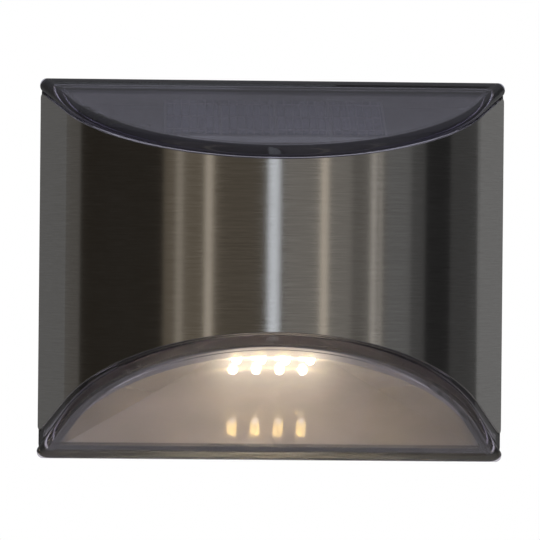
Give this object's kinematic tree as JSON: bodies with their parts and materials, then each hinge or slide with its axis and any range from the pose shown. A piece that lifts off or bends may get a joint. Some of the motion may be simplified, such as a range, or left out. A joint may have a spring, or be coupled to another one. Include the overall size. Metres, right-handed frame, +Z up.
{
  "type": "solar fence light",
  "caption": "Solar wall and fence light: a curved brushed-steel front between a smoked clear solar window and a smoked clear lamp window, on a hook bracket.",
  "frame": {"origin": "middle of the bracket's two screw holes, on the wall plane", "axes": "+X to the right seen from the front, +Y into the wall, +Z up"},
  "size_m": [0.137, 0.0612, 0.1118],
  "materials": {
    "bracket_steel": "satin black powder coat",
    "black_plastic": "fine moulded texture",
    "brushed_steel": "brushed along the curve, clear lacquer",
    "smoked_lens": "smoked clear plastic, polished",
    "seal_rubber": "soft matt",
    "panel_board": "resin-coated board",
    "solar_silicon": "dark blue cells with fine fingers",
    "cream_plastic": "high-gloss cream",
    "board_white": "solder mask",
    "led_lens": "clear epoxy, emissive",
    "board_green": "solder mask",
    "part_black": "moulded",
    "part_copper": "enamelled winding",
    "battery_sleeve": "plain shrink sleeve",
    "contact_metal": "nickel plate",
    "screw_steel": "zinc plate",
    "switch_plastic": "moulded",
    "wire_sleeve": "vinyl"
  },
  "bodies": {
    "bracket": {"wall_bracket": "bracket_steel"},
    "light": {"rear_housing": "black_plastic", "front_cover": "brushed_steel", "top_lens": "smoked_lens", "bottom_lens": "smoked_lens", "top_gasket": "seal_rubber", "bottom_gasket": "seal_rubber", "solar_tray": "black_plastic", "solar_board": "panel_board", "solar_cells": "solar_silicon", "reflector": "cream_plastic", "led_board": "board_white", "led_1": "led_lens", "led_2": "led_lens", "led_3": "led_lens", "led_4": "led_lens", "control_board": "board_green", "control_chip": "part_black", "inductor": "part_copper", "capacitor": "part_black", "battery": "battery_sleeve", "contact_minus": "contact_metal", "contact_plus": "contact_metal", "switch_body": "part_black", "housing_screws": "screw_steel", "solar_leads": "wire_sleeve", "led_leads": "wire_sleeve", "battery_leads": "wire_sleeve", "switch_leads": "wire_sleeve"},
    "door": {"battery_door": "black_plastic", "door_gasket": "seal_rubber", "door_screws": "screw_steel"},
    "switch": {"switch_slider": "switch_plastic"}
  },
  "joints": [
    {"name": "lift_off", "type": "slide", "parent": "bracket", "child": "light", "axis": [0, 0, 1], "range_m": [0, 0.008]},
    {"name": "door_pull", "type": "slide", "parent": "light", "child": "door", "axis": [0, 1, 0], "range_m": [0, 0.012]},
    {"name": "switch_slide", "type": "slide", "parent": "light", "child": "switch", "axis": [1, 0, 0], "range_m": [0, 0.003]}
  ]
}
